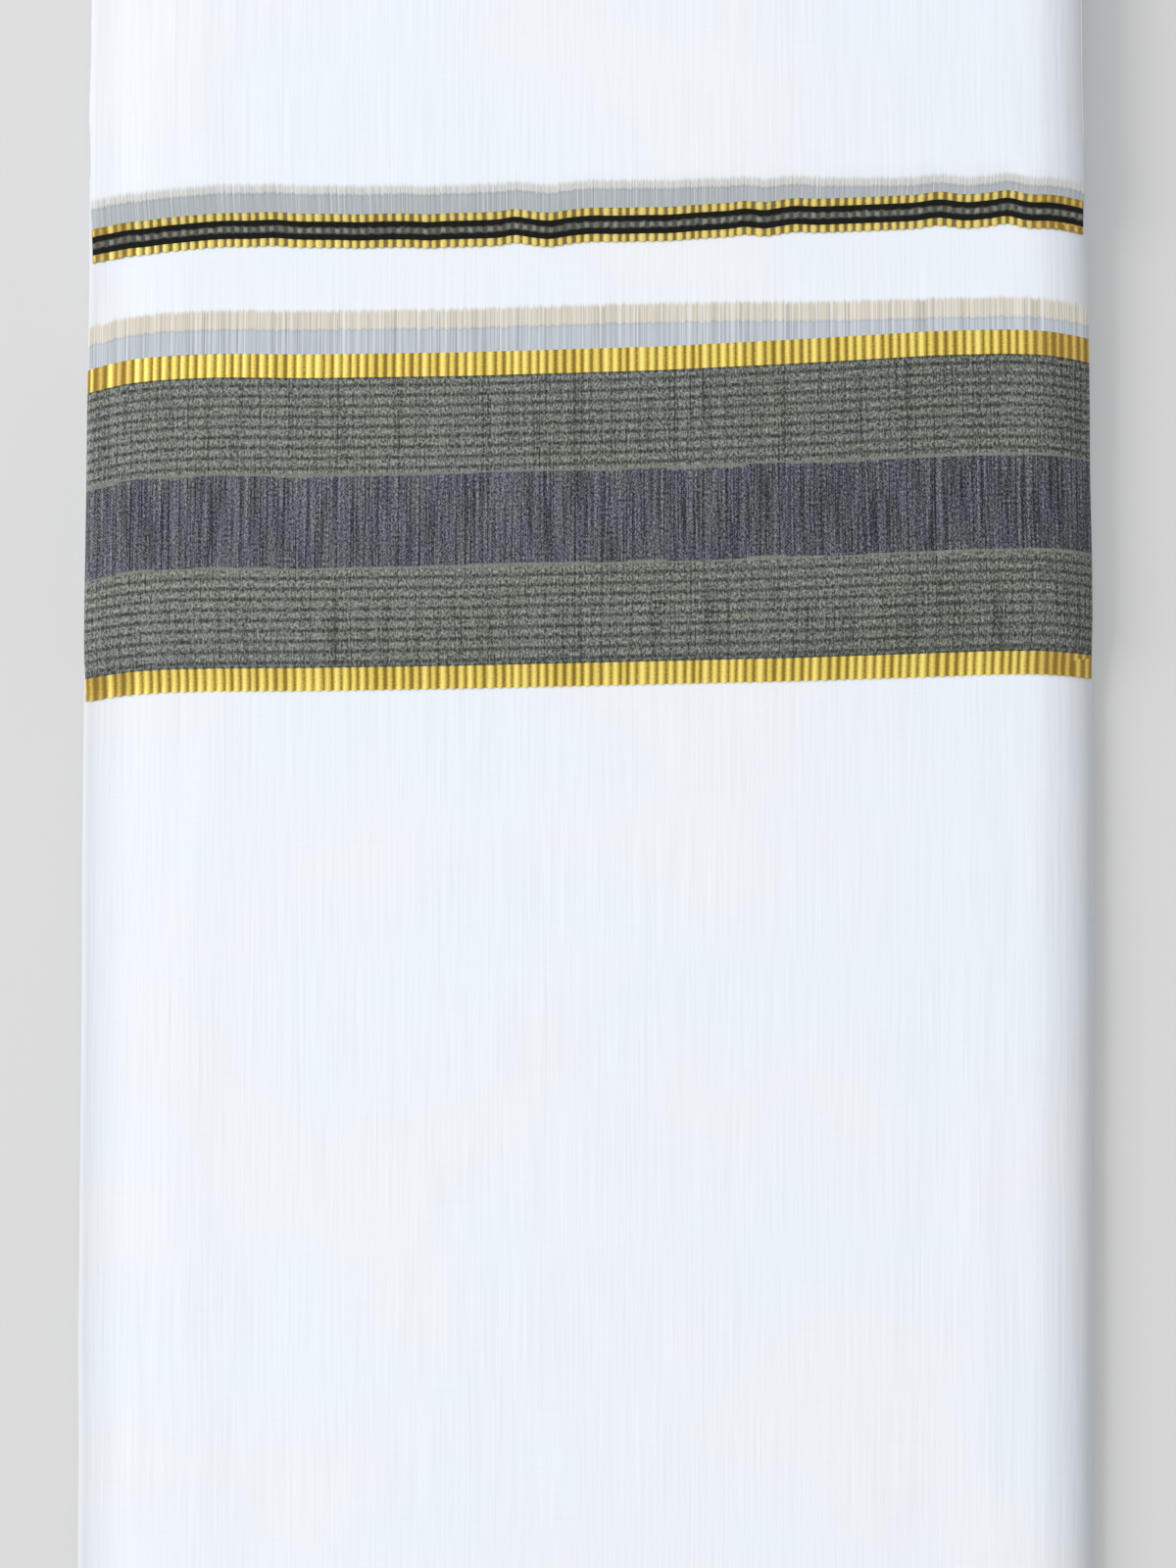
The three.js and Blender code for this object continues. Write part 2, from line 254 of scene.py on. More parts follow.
def creases(x, y, table):
    """Height of the soft ridges and troughs at a point of a face."""
    total = np.zeros(np.broadcast(x, y).shape)
    for at_x, at_y, angle, half_length, half_width, height in table:
        c, s = math.cos(math.radians(angle)), math.sin(math.radians(angle))
        along = (x - at_x) * c + (y - at_y) * s
        bow = 0.06 * half_length * np.cos(along / half_length * 1.4)
        across = -(x - at_x) * s + (y - at_y) * c - bow
        total += height * np.exp(-((along / half_length) ** 4)) * np.exp(-((across / half_width) ** 2))
    return total


def side_widths(y):
    """Half widths of the strip to the left and right of the middle at y, as shares of the plain ones."""
    left = 1 + np.interp(y, SIDE_Y, LEFT_WIDER) + SIDE_WANDER * wander(y, 3, 160)
    right = 1 + np.interp(y, SIDE_Y, RIGHT_WIDER) + SIDE_WANDER * wander(y, 8, 140)
    return left, right


def widened(x, y):
    """x moved with the side that it is on."""
    left, right = side_widths(y)
    return x * np.where(x < 0, left, right)


# ---- The strip's path ----
# Each function gives (y, z) at a place along one stretch. depth goes from 0 at the face of the strip
# that shows on the body to 1 at its other face.


def droop_height(stacks, x, y, distance):
    """Height of a flap's face: it comes down near its selvage, onto the stack below."""
    full = fullness(x, y)
    lying = (stacks - 1) * STACK * full + LIFT
    return mix(lying, stacks * STACK * full, ease(distance / DROOP))


def front_height(x, y, distance, depth):
    """Z in the front flap's stack, at y, a distance in from its selvage."""
    low = 3 * STACK * fullness(x, y)
    return mix(droop_height(4, x, y, distance), low, depth)


def under_height(x, y, distance, depth):
    """Z in the under flap's stack, at y, a distance in from its selvage."""
    low = 2 * STACK * fullness(x, y)
    return mix(low, droop_height(3, x, y, distance), depth)


def on_front_flap(x, distance, depth):
    y = front_place(x, distance)
    return y, front_height(x, y, distance, depth)


def on_under_flap(x, distance, depth):
    y = under_place(x, distance)
    return y, under_height(x, y, distance, depth)


def round_top(x, angle, depth):
    radius = (2 - depth) * STACK
    full = fullness(x, TOP_TURN_Y)
    return TOP_TURN_Y + radius * np.sin(angle), (2 * STACK + radius * np.cos(angle)) * full


def on_back(x, y, depth):
    return y + 0 * x, depth * STACK * fullness(x, y)


def round_bottom(x, angle, depth):
    radius = (1 - (1 - TIGHTEST) * depth) * STACK
    full = fullness(x, BOTTOM_TURN_Y)
    return BOTTOM_TURN_Y - radius * np.sin(angle), (STACK - radius * np.cos(angle)) * full


def on_body(x, y, depth):
    return y + 0 * x, (2 - depth) * STACK * fullness(x, y)


def round_inside_top(x, angle, depth):
    radius = (TIGHTEST + (1 - TIGHTEST) * depth) * STACK
    full = fullness(x, TOP_TURN_Y)
    return TOP_TURN_Y + radius * np.sin(angle), (2 * STACK - radius * np.cos(angle)) * full


# ---- Meshes ----

TURN_POINTS = 13  # points round a turned edge
POINTS_PER_RIB = 10
FINE_REACH = 17.0  # the fine ridges along the right side need closer points
FINE_SPACING = 0.4
TAIL_SPACING = 1.7


def piece_from(name, points, faces, cloth_uv, sharp_angle=55):
    """A mesh object from points in millimetres. cloth_uv has a pair for each point."""
    mesh = bpy.data.meshes.new(name)
    mesh.from_pydata((np.asarray(points) * MM).tolist(), [], faces)
    layer = mesh.uv_layers.new(name="Cloth")
    loops = np.zeros(len(mesh.loops), dtype=np.int32)
    mesh.loops.foreach_get("vertex_index", loops)
    layer.data.foreach_set("uv", np.asarray(cloth_uv, dtype=np.float32)[loops].ravel())
    mesh.shade_smooth()
    mesh.set_sharp_from_angle(angle=math.radians(sharp_angle))
    made = bpy.data.objects.new(name, mesh)
    bpy.context.scene.collection.objects.link(made)
    return made


def outward(points):
    """Unit normals of a grid of points."""
    along = np.gradient(points, axis=0)
    across = np.gradient(points, axis=1)
    normal = np.cross(across, along)
    return normal / (np.linalg.norm(normal, axis=2, keepdims=True) + 1e-12)


def shell_parts(points, cloth_uv, thickness, start=0):
    """Points, faces and cloth coordinates of a closed shell on a grid of outer points."""
    rows, columns = points.shape[:2]
    inner = points - outward(points) * thickness
    every = np.concatenate([points.reshape(-1, 3), inner.reshape(-1, 3)])
    index = np.arange(rows * columns).reshape(rows, columns) + start
    under = index + rows * columns
    a, b, c, d = index[:-1, :-1], index[:-1, 1:], index[1:, 1:], index[1:, :-1]
    outer_faces = np.stack([a, b, c, d], axis=-1).reshape(-1, 4)
    a, b, c, d = under[:-1, :-1], under[1:, :-1], under[1:, 1:], under[:-1, 1:]
    inner_faces = np.stack([a, b, c, d], axis=-1).reshape(-1, 4)
    rim = np.concatenate([index[0, :], index[1:, -1], index[-1, -2::-1], index[-2:0:-1, 0]])
    low_rim = rim + rows * columns
    rim_faces = np.stack([np.roll(rim, -1), rim, low_rim, np.roll(low_rim, -1)], axis=-1)
    faces = np.concatenate([outer_faces, inner_faces, rim_faces]).tolist()
    both_uv = np.concatenate([cloth_uv.reshape(-1, 2)] * 2)
    return every, faces, both_uv


def spaced(low, high, spacing):
    return np.linspace(low, high, max(2, int(round((high - low) / spacing)) + 1))


def cover_section(half, lip, spacing, ribs=False):
    """The outermost layer across the strip: x, depth and unrolled distance from the middle.

    It comes in along the far face on the left, turns round the roll of nested layers, crosses the near
    face and turns in round a fold that is lip of the stack thick on the right.
    """
    left_round = STACK * float(fullness(-half)) / 2
    right_round = STACK * float(fullness(half)) * lip / 2
    turn = np.linspace(-90, 90, TURN_POINTS)
    left_angle = np.radians(turn)
    right_angle = np.radians(turn[::-1])
    left_x = -half + left_round * (1 - np.cos(left_angle))
    left_depth = 0.5 - 0.5 * np.sin(left_angle)
    right_x = half - right_round * (1 - np.cos(right_angle))
    right_depth = lip / 2 - lip / 2 * np.sin(right_angle)
    face_low, face_high = -half + left_round, half - right_round
    if ribs:
        step = RIB_PITCH / POINTS_PER_RIB
        face_x = np.arange(face_low + step, face_high - step / 2, step)
    else:
        knee = face_high - FINE_REACH
        coarse = spaced(face_low, knee, spacing)[1:]
        fine = spaced(knee, face_high, FINE_SPACING)[1:-1]
        face_x = np.concatenate([coarse, fine])
    tail_x = spaced(0, TAIL, TAIL_SPACING)[1:]
    left_tail, right_tail = np.ones(len(tail_x)), np.full(len(tail_x), lip)
    x = np.concatenate([left_x[0] + tail_x[::-1], left_x, face_x, right_x, right_x[-1] - tail_x])
    depth = np.concatenate([left_tail, left_depth, np.zeros(len(face_x)), right_depth, right_tail])
    height = depth * STACK
    unrolled = np.concatenate([[0], np.cumsum(np.hypot(np.diff(x), np.diff(height)))])
    face = slice(len(tail_x) + TURN_POINTS, -len(tail_x) - TURN_POINTS)
    middle = np.interp(0.0, x[face], unrolled[face])
    return x, depth, unrolled - middle


def cover_piece(
    name, half, lip, rows, place, relief, spacing=1.6, flip_depth=False, ribs=False, turn=1.0
):
    """A sheet with a turned edge at each side. place(x, row, depth) gives y and z on the strip.

    relief(x, y, unrolled) is the height of its creases or ribs. turn is the cloth's length for one unit
    of row, which is a radius where the rows are angles.
    """
    x, depth, unrolled = cover_section(half, lip, spacing, ribs)
    rows = np.asarray(rows, dtype=float)[:, None]
    x_grid = np.broadcast_to(x, (len(rows), len(x)))
    depth_grid = np.broadcast_to(1 - depth if flip_depth else depth, x_grid.shape)
    y, z = place(x_grid, rows, depth_grid)
    y = np.broadcast_to(y, x_grid.shape)
    z = np.broadcast_to(z, x_grid.shape)
    points = np.stack([widened(x_grid, y), y, z], axis=-1)
    shown = ease(1 - depth * 2)
    points = points + outward(points) * (relief(x_grid, y, unrolled) * shown)[..., None]
    v = np.broadcast_to(rows * turn, x_grid.shape)
    cloth_uv = np.stack([np.broadcast_to(unrolled, x_grid.shape), v], axis=-1)
    return piece_from(name, *shell_parts(points, cloth_uv, SHELL))


def rib_phase(u):
    """Ribs counted across the cloth, slightly uneven."""
    return u / RIB_PITCH + 0.22 * wander(u, 2, 37) + 0.07 * wander(u, 5, 9)


# ---- Materials ----


class Field:
    """A number that varies over a surface: a node's output, with arithmetic."""

    def __init__(self, tree, socket):
        self.tree, self.socket = tree, socket

    def math(self, operation, *others):
        made = self.tree.nodes.new("ShaderNodeMath")
        made.operation = operation
        for place, value in enumerate((self, *others)):
            if isinstance(value, Field):
                self.tree.links.new(value.socket, made.inputs[place])
            else:
                made.inputs[place].default_value = value
        return Field(self.tree, made.outputs[0])

    def __add__(self, other):
        return self.math("ADD", other)

    def __sub__(self, other):
        return self.math("SUBTRACT", other)

    def __mul__(self, other):
        return self.math("MULTIPLY", other)

    def fraction(self):
        return self.math("FRACT")

    def whole(self):
        return self.math("FLOOR")

    def cosine(self):
        return (self * (2 * math.pi)).math("COSINE")

    def step(self, low, high):
        """0 below low, 1 above high, and smooth between them. With low above high it falls."""
        made = self.tree.nodes.new("ShaderNodeMapRange")
        made.interpolation_type = "SMOOTHSTEP"
        self.tree.links.new(self.socket, made.inputs["Value"])
        for name, value in (("From Min", low), ("From Max", high)):
            if isinstance(value, Field):
                self.tree.links.new(value.socket, made.inputs[name])
            else:
                made.inputs[name].default_value = value
        return Field(self.tree, made.outputs[0])

    def band(self, low, high, soft):
        """1 between low and high, with soft edges."""
        return self.step(low - soft, low + soft) * self.step(high + soft, high - soft)


class Cloth:
    """One cloth material. u runs across the strip and v along it, in millimetres of cloth."""

    def __init__(self, name, roughness=0.85, sheen=0.12, metallic=0.0):
        self.material = bpy.data.materials.new(name)
        self.material.use_nodes = True
        self.tree = self.material.node_tree
        self.shader = self.tree.nodes["Principled BSDF"]
        self.shader.inputs["Roughness"].default_value = roughness
        self.shader.inputs["Metallic"].default_value = metallic
        self.shader.inputs["Sheen Weight"].default_value = sheen
        self.shader.inputs["Sheen Roughness"].default_value = 0.5
        self.shader.inputs["Specular IOR Level"].default_value = 0.25
        uv = self.tree.nodes.new("ShaderNodeUVMap")
        uv.uv_map = "Cloth"
        split = self.tree.nodes.new("ShaderNodeSeparateXYZ")
        self.tree.links.new(uv.outputs[0], split.inputs[0])
        self.u = Field(self.tree, split.outputs[0])
        self.v = Field(self.tree, split.outputs[1])

    def noise(self, u_scale, v_scale, detail=2.0, seed=0.0, roughness=0.5):
        """Smooth noise from 0 to 1, with u_scale and v_scale spots to the millimetre."""
        join = self.tree.nodes.new("ShaderNodeCombineXYZ")
        self.tree.links.new((self.u * u_scale).socket, join.inputs[0])
        self.tree.links.new((self.v * v_scale).socket, join.inputs[1])
        join.inputs[2].default_value = seed
        made = self.tree.nodes.new("ShaderNodeTexNoise")
        made.inputs["Scale"].default_value = 1.0
        made.inputs["Detail"].default_value = detail
        made.inputs["Roughness"].default_value = roughness
        self.tree.links.new(join.outputs[0], made.inputs["Vector"])
        return Field(self.tree, made.outputs[0])

    def random(self, field):
        """A random number from 0 to 1 for each value of a field."""
        made = self.tree.nodes.new("ShaderNodeTexWhiteNoise")
        made.noise_dimensions = "1D"
        self.tree.links.new(field.socket, made.inputs["W"])
        return Field(self.tree, made.outputs["Value"])

    def blend(self, low, high, share, mode="MIX"):
        """A colour between two, each a socket or (r, g, b)."""
        made = self.tree.nodes.new("ShaderNodeMix")
        made.data_type = "RGBA"
        made.blend_type = mode
        if isinstance(share, Field):
            self.tree.links.new(share.socket, made.inputs[0])
        else:
            made.inputs[0].default_value = share
        for place, colour in ((6, low), (7, high)):
            if isinstance(colour, tuple):
                made.inputs[place].default_value = (*colour, 1.0)
            else:
                self.tree.links.new(colour, made.inputs[place])
        return made.outputs[2]

    def shade(self, colour, amount):
        """A colour multiplied by a field that is about 1."""
        join = self.tree.nodes.new("ShaderNodeCombineXYZ")
        for axis in range(3):
            self.tree.links.new(amount.socket, join.inputs[axis])
        return self.blend(colour, join.outputs[0], 1.0, "MULTIPLY")

    def painted_fold_shade(self, left=0.11, right=0.17):
        """A little below 1 along the two sides: painted shade where the cloth rounds down into the folds.

        It falls twice over, first slowly and then close to the edge, and is 1 again past the turn.
        """
        left_side = self.u.step(-105.0, -115.5) + self.u.step(-113.0, -117.0)
        right_side = self.u.step(99.0, 117.0) + self.u.step(111.5, 117.0)
        top = self.u.step(-121.5, -118.5) * self.u.step(121.0, 118.5)
        return (left_side * -left + right_side * -right) * top + 1.0

    def finish(self, colour, height=None, bump=0.1, distance=0.1):
        self.tree.links.new(colour, self.shader.inputs["Base Color"])
        if height is not None:
            made = self.tree.nodes.new("ShaderNodeBump")
            made.inputs["Strength"].default_value = bump
            made.inputs["Distance"].default_value = distance * MM
            self.tree.links.new(height.socket, made.inputs["Height"])
            self.tree.links.new(made.outputs[0], self.shader.inputs["Normal"])
        return self.material


WHITE = (0.795, 0.830, 0.880)
WARM_WHITE = (0.815, 0.820, 0.845)
GREY_GHOSTS = ((0.400, 0.425, 0.440), (0.600, 0.595, 0.560))  # the grey part and the beige part
BLUE_GHOSTS = ((0.455, 0.485, 0.520), (0.625, 0.570, 0.480))

# Borders that show through from the layer below: where one starts along v, how far it reaches on the
# left and on the right, the width of its beige part, and its two colours.
FRONT_GHOST = (0.0, 5.7, 3.6, 1.7, GREY_GHOSTS)
UNDER_GHOST = (WIDE_WIDTH, 10.0, 7.3, 4.3, BLUE_GHOSTS)

# The zari's colours: the darkest are painted shade in the furrows between ribs and the palest are painted
# highlight on their crests, with the gold's own colour between. The brown ones are painted shade where the
# zari turns down at its two ends.
GOLD_CREST_HIGHLIGHT = (0.960, 0.800, 0.230)
GOLD_MIDDLE = (0.700, 0.500, 0.085)
GOLD_FURROW_SHADE = (0.270, 0.175, 0.020)
GOLD_PALE_HIGHLIGHT = (0.800, 0.670, 0.230)
GOLD_OLIVE_SHADE = (0.200, 0.150, 0.045)
GOLD_BROWN = (0.330, 0.200, 0.030)
GOLD_END_SHADE = (0.640, 0.430, 0.100)
SAGE = (0.205, 0.218, 0.184)
MOSS = (0.198, 0.211, 0.190)
SLATE = (0.026, 0.028, 0.036)
SLATE_PALE = (0.158, 0.161, 0.184)
SLATE_TINTS = ((0.95, 1.00, 1.07), (1.02, 1.04, 0.95))
OLIVE_DARK = (0.075, 0.077, 0.060)
OLIVE_PALE = (0.250, 0.250, 0.220)
INK = (0.020, 0.020, 0.022)
BLACK = (0.006, 0.006, 0.006)
FLOOR_GREY = (0.655, 0.646, 0.637)
SKY = (0.96, 0.98, 1.0)

# Where the zari is painted darker and browner towards its two ends, as shade where the strip turns down at
# its sides, in ribs from the middle.
END_SHADE_LEFT = (-51.6, -53.2)
END_SHADE_RIGHT = (47.5, 50.5)

CHECK_LINES = 9
DARKEST = 0.12  # the tone of a coloured band never falls below this


def white_cotton(name, ghost=None):
    """Fine bleached plain weave, and the border of the layer below where it shows through."""
    cloth = Cloth(name, roughness=0.88, sheen=0.15)
    warp = cloth.noise(1.9, 0.03, detail=3.0, roughness=0.6)
    weft = cloth.noise(0.05, 1.9, detail=3.0, seed=4.0)
    blotch = cloth.noise(0.018, 0.018, detail=2.0, seed=9.0)
    slub = cloth.noise(1.3, 0.011, detail=1.0, seed=14.0).step(0.62, 0.76)
    colour = cloth.blend(WHITE, WARM_WHITE, blotch.step(0.40, 0.66) * 0.8)
    tone = (warp - 0.5) * 0.17 + (weft - 0.5) * 0.035 + (blotch - 0.5) * 0.03 + 1.0 - slub * 0.035
    # The tone carries painted shade along the two folds at the sides.
    colour = cloth.shade(colour, tone * cloth.painted_fold_shade())
    if ghost:
        start, left_reach, right_reach, beige, (dark, pale) = ghost
        reach = cloth.u.step(5, 88) * (right_reach - left_reach) + (start + left_reach)
        over = cloth.v - reach + (warp - 0.5) * 2.2
        fine = cloth.noise(2.9, 0.02, detail=2.0, seed=21.0, roughness=0.7)
        bright = cloth.noise(2.3, 0.015, detail=1.0, seed=26.0).step(0.54, 0.68)
        ghosts = cloth.blend(dark, pale, (over + beige).step(-0.35, 0.45))
        line = (over + beige).band(-0.45, 0.0, 0.25)
        ghosts = cloth.shade(ghosts, (fine - 0.5) * 1.7 + 0.99 - line * 0.12)
        share = over.step(0.7, -0.6) * (bright * -0.36 + 0.97)
        colour = cloth.blend(colour, ghosts, share)
    weave = cloth.noise(2.6, 2.6, detail=2.0, seed=30.0)
    return cloth.finish(colour, weave * 0.4 + warp * 0.6, bump=0.3, distance=0.12)


def zari(name, beaded_band=None):
    """Ribbed gold thread. Its u counts ribs. A narrow one is beaded between the limits of its band."""
    cloth = Cloth(name, roughness=0.42, sheen=0.0, metallic=0.35)
    # Painted light on the ribs: lighter on their crests and darker in their furrows, with painted glints
    # that also make the bump.
    painted_rib_light = cloth.u.cosine() * 0.5 + 0.5
    rib = cloth.random((cloth.u + 0.5).whole())
    glint = cloth.noise(3.0, 2.4, detail=2.0, seed=3.0)
    level = painted_rib_light * 0.75 + (rib - 0.5) * 0.3 + (glint - 0.5) * 0.5
    if beaded_band:
        low, high = beaded_band
        # Painted light on the beads: lighter along the middle of the band, where they bulge, and darker at
        # its edges.
        painted_bulge_light = cloth.v.band(low + 0.25, high - 0.25, 0.45)
        level = level * (painted_bulge_light * 0.35 + 0.65)
        colour = cloth.blend(GOLD_OLIVE_SHADE, GOLD_MIDDLE, level.step(0.05, 0.42))
        colour = cloth.blend(colour, GOLD_PALE_HIGHLIGHT, level.step(0.30, 0.75))
    else:
        colour = cloth.blend(GOLD_FURROW_SHADE, GOLD_MIDDLE, level.step(-0.05, 0.40))
        colour = cloth.blend(colour, GOLD_CREST_HIGHLIGHT, level.step(0.35, 0.85))
    # Painted shade towards the two ends, where the strip turns down at its sides: darker and browner there.
    ragged = cloth.u + (rib - 0.5) * 3.0
    end = ragged.step(*END_SHADE_LEFT) + ragged.step(*END_SHADE_RIGHT)
    end_shade = cloth.blend(GOLD_BROWN, GOLD_END_SHADE, level.step(0.2, 0.9))
    end_shade = cloth.shade(end_shade, level * 0.35 + 0.80)
    colour = cloth.blend(colour, end_shade, end * 0.85)
    return cloth.finish(colour, glint, bump=0.3, distance=0.1)


def dark_warp(cloth):
    """The dark threads that run through every band of the wide border, unevenly spaced."""
    sway = cloth.noise(0.2, 0.05, detail=1.0, seed=39.0)
    thin = cloth.noise(1.45, 0.004, detail=1.0, seed=41.0).step(0.58, 0.67)
    fine = cloth.noise(2.20, 0.040, detail=1.0, seed=47.0).step(0.48, 0.62)
    return thin * 0.60 + fine * (sway * 0.5 + 0.40)


def melange(cloth):
    """Slate blue and grey yarns in fine streaks, with a slanting speckle."""
    streak = cloth.noise(1.5, 0.03, detail=4.0, seed=51.0, roughness=0.75)
    speckle = cloth.noise(2.1, 1.5, detail=3.0, seed=57.0, roughness=0.85)
    twill = ((cloth.u + cloth.v) * 1.35 + speckle * 1.6).cosine()
    tint = cloth.noise(0.16, 0.09, detail=2.0, seed=59.0).step(0.38, 0.62)
    colour = cloth.blend(SLATE, SLATE_PALE, streak.step(0.26, 0.70))
    colour = cloth.blend(colour, cloth.blend(*SLATE_TINTS, tint), 1.0, "MULTIPLY")
    tone = (speckle - 0.5) * 8.4 + 1.03 + twill * 0.30 - dark_warp(cloth) * 0.95 - cloth.u * 0.0013
    return cloth.shade(colour, tone.math("MAXIMUM", DARKEST))


def check(cloth, low, high):
    """Grey-green ground with dark dashed lines across and dark threads along."""
    speckle = cloth.noise(2.1, 1.3, detail=3.0, seed=61.0, roughness=0.85)
    drift = cloth.noise(0.03, 0.05, detail=1.0, seed=66.0)
    pitch = (high - low) / (CHECK_LINES + 0.3)
    ragged = cloth.noise(1.1, 0.5, detail=2.0, seed=69.0) - 0.5
    line = ((cloth.v + ragged * 0.5 - low) * (1 / pitch)).fraction()
    dash = cloth.noise(1.9, 0.9, detail=2.0, seed=71.0, roughness=0.7).step(0.42, 0.56)
    across = line.band(0.32, 0.68, 0.14) * (dash * 0.68 + 0.32)
    tone = (speckle - 0.5) * 6.6 + 0.925 + (drift - 0.5) * 0.2 - dark_warp(cloth) * 0.52
    tone = (tone - cloth.u * 0.0010).math("MAXIMUM", DARKEST)
    ground = cloth.shade(cloth.blend(SAGE, MOSS, drift.step(0.42, 0.62)), tone)
    return cloth.blend(ground, INK, across * 0.88)


def border_ground(name, low, high, kind):
    """A check band, dark along the zari beside it, or the centre band, with sage along both limits."""
    cloth = Cloth(name, roughness=0.9, sheen=0.1)
    if kind == "check":
        colour = check(cloth, low, high)
        furrow = (furrow_count(cloth).cosine() * 0.5 + 0.5).step(0.35, 0.8)
        beside_lower_zari = low == WIDE_BANDS["lower_check"][0]
        limit, inward = (low, 1) if beside_lower_zari else (high, -1)
        edge = cloth.v.step(limit + 0.9 * inward, limit + 0.1 * inward)
        colour = cloth.blend(colour, INK, edge * (furrow * 0.6 + 0.3))
    else:
        colour = melange(cloth)
        jag = (cloth.random((cloth.u * 0.11).whole()) - 0.5) * 0.7
        near_low = (cloth.v + jag).step(low + 0.75, low + 0.55)
        near_high = (cloth.v + jag).step(high - 0.75, high - 0.55)
        ends = near_low + near_high
        speck = cloth.noise(2.4, 0.6, detail=2.0, seed=77.0, roughness=0.7)
        sage = cloth.shade(SAGE, (speck - 0.5) * 2.4 + 0.95)
        colour = cloth.blend(colour, sage, ends * 0.85)
    # Painted shade along the fold on the right.
    colour = cloth.shade(colour, cloth.painted_fold_shade(0.0, 0.08))
    weave = cloth.noise(2.8, 2.8, detail=2.0, seed=80.0)
    return cloth.finish(colour, weave, bump=0.35, distance=0.12)


def furrow_count(cloth):
    """A count of even ribs at u, half a rib on so that its crests are furrows."""
    return cloth.u * (1 / RIB_PITCH) + 0.5


def stripe(name):
    """Black lines on both sides of a beaded olive-grey one. Its u counts ribs."""
    low, high = NARROW_BANDS["stripe"]
    cloth = Cloth(name, roughness=0.95, sheen=0.0)
    ragged = (cloth.noise(1.6, 0.3, detail=2.0, seed=91.0) - 0.5) * 0.9
    v = cloth.v + ragged
    beads = cloth.u.cosine() * 0.5 + 0.5
    bead = cloth.random((cloth.u + 0.5).whole())
    middle = v.band(low + 1.35, high - 1.25, 0.22)
    core = v.band(low + 1.55, high - 1.45, 0.3)
    share = beads.step(0.15, 0.85) * core * (bead * 0.8 + 0.35)
    olive = cloth.blend(OLIVE_DARK, OLIVE_PALE, share)
    fleck = cloth.noise(3.0, 3.0, detail=1.0, seed=96.0)
    colour = cloth.blend(BLACK, cloth.shade(olive, (fleck - 0.5) * 0.8 + 1.0), middle)
    return cloth.finish(colour, fleck, bump=0.3, distance=0.12)


def floor_material():
    material = bpy.data.materials.new("floor")
    material.use_nodes = True
    shader = material.node_tree.nodes["Principled BSDF"]
    shader.inputs["Base Color"].default_value = (*FLOOR_GREY, 1.0)
    shader.inputs["Roughness"].default_value = 0.9
    shader.inputs["Specular IOR Level"].default_value = 0.1
    return material


# ---- Pieces ----


def add(piece, node, material):
    """A piece takes the place of a node, with a material of its own."""
    piece.data.materials.append(material)
    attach(piece, "root")
    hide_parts(node)


def folded_sheet(width, length):
    """The size of the cloth that a piece shows, laid flat; it is worked out and not kept."""
    flat = (width * MM, length * MM)


RIDGE_REACH = 18.0
COARSE_RIDGE, FINE_RIDGE = 0.075, 0.045


def threads_drawn_in(x, y):
    """Fine ridges along the right side, where the threads are drawn round the fold."""
    near = ease((x - BODY_HALF + RIDGE_REACH) / 10)
    sway = 0.45 * wander(y, 4, 60) + 0.2 * wander(y, 7, 23)
    coarse = wander(x + sway, 11, 5.2) * (0.65 + 0.35 * wander(y, 12, 47))
    fine = wander(x + sway * 0.7, 17, 2.6) * (0.6 + 0.4 * wander(y, 15, 31))
    return near * (COARSE_RIDGE * coarse + FINE_RIDGE * fine)


def plain(table, waves=0.05):
    """Relief of a plain face: its creases and faint waves."""

    def relief(x, y, u):
        slow = waves * wander(x + 0.2 * y, 1, 75) * wander(y, 6, 90)
        return creases(x, y, table) + slow + threads_drawn_in(x, y)

    return relief


def ribbed(height):
    """Relief of ribs that run along the strip, flatter at both ends and most of all on the right."""

    def relief(x, y, u):
        left, right = ease((-u - 106) / 5), ease((u - 98) / 9)
        flattened = 1 - 0.45 * left - 0.92 * right
        return flattened * (height * (0.5 + 0.5 * np.cos(2 * math.pi * rib_phase(u))) - height / 2)

    return relief


def cut_width(half, lip):
    """Width of the cloth that a cover piece shows, turned edges and tails included."""
    unrolled = cover_section(half, lip, 2.0)[2]
    return unrolled[-1] - unrolled[0]


SCALLOP_REACH = 1.2  # how far in from a free edge its scallops go


def ribbed_piece(name, half, lip, band, place, flip):
    """A band of ribs, whose u coordinate counts ribs. A rib stands out a little past a free edge."""
    low, high = band

    def scalloped(x, distance, depth):
        y, z = place(x, distance, depth)
        free = np.clip(1 - distance / SCALLOP_REACH, 0, 1)
        return y + free * (0.10 - 0.13 * np.cos(2 * math.pi * rib_phase(x))), z

    rows = spaced(low, high, 0.6)
    made = cover_piece(name, half, lip, rows, scalloped, ribbed(RIB_HEIGHT), flip_depth=flip, ribs=True)
    uv = made.data.uv_layers["Cloth"].data
    values = np.zeros(len(uv) * 2, dtype=np.float32)
    uv.foreach_get("uv", values)
    values[0::2] = rib_phase(values[0::2])
    uv.foreach_set("uv", values)
    return made


def back_relief(x, y, u):
    """Only hollows: the ridges of the underside are pressed flat."""
    return -np.abs(creases(x, y, BACK_CREASES))


def nothing(x, y, u):
    """Relief of a fold, which has none."""
    return np.zeros(np.broadcast(x, y).shape)


FRONT_WHITE = TOP_TURN_Y - float(front_place(0.0, NARROW_WIDTH))
TURN = np.radians(np.linspace(0, 180, 25))


def front_white_place(x, distance, depth):
    """The front flap's white, from its border to the top fold, where its rows are straight again."""
    start = front_place(x, NARROW_WIDTH)
    y = mix(start, TOP_TURN_Y, distance / FRONT_WHITE)
    return y, front_height(x, y, NARROW_WIDTH + y - start, depth)


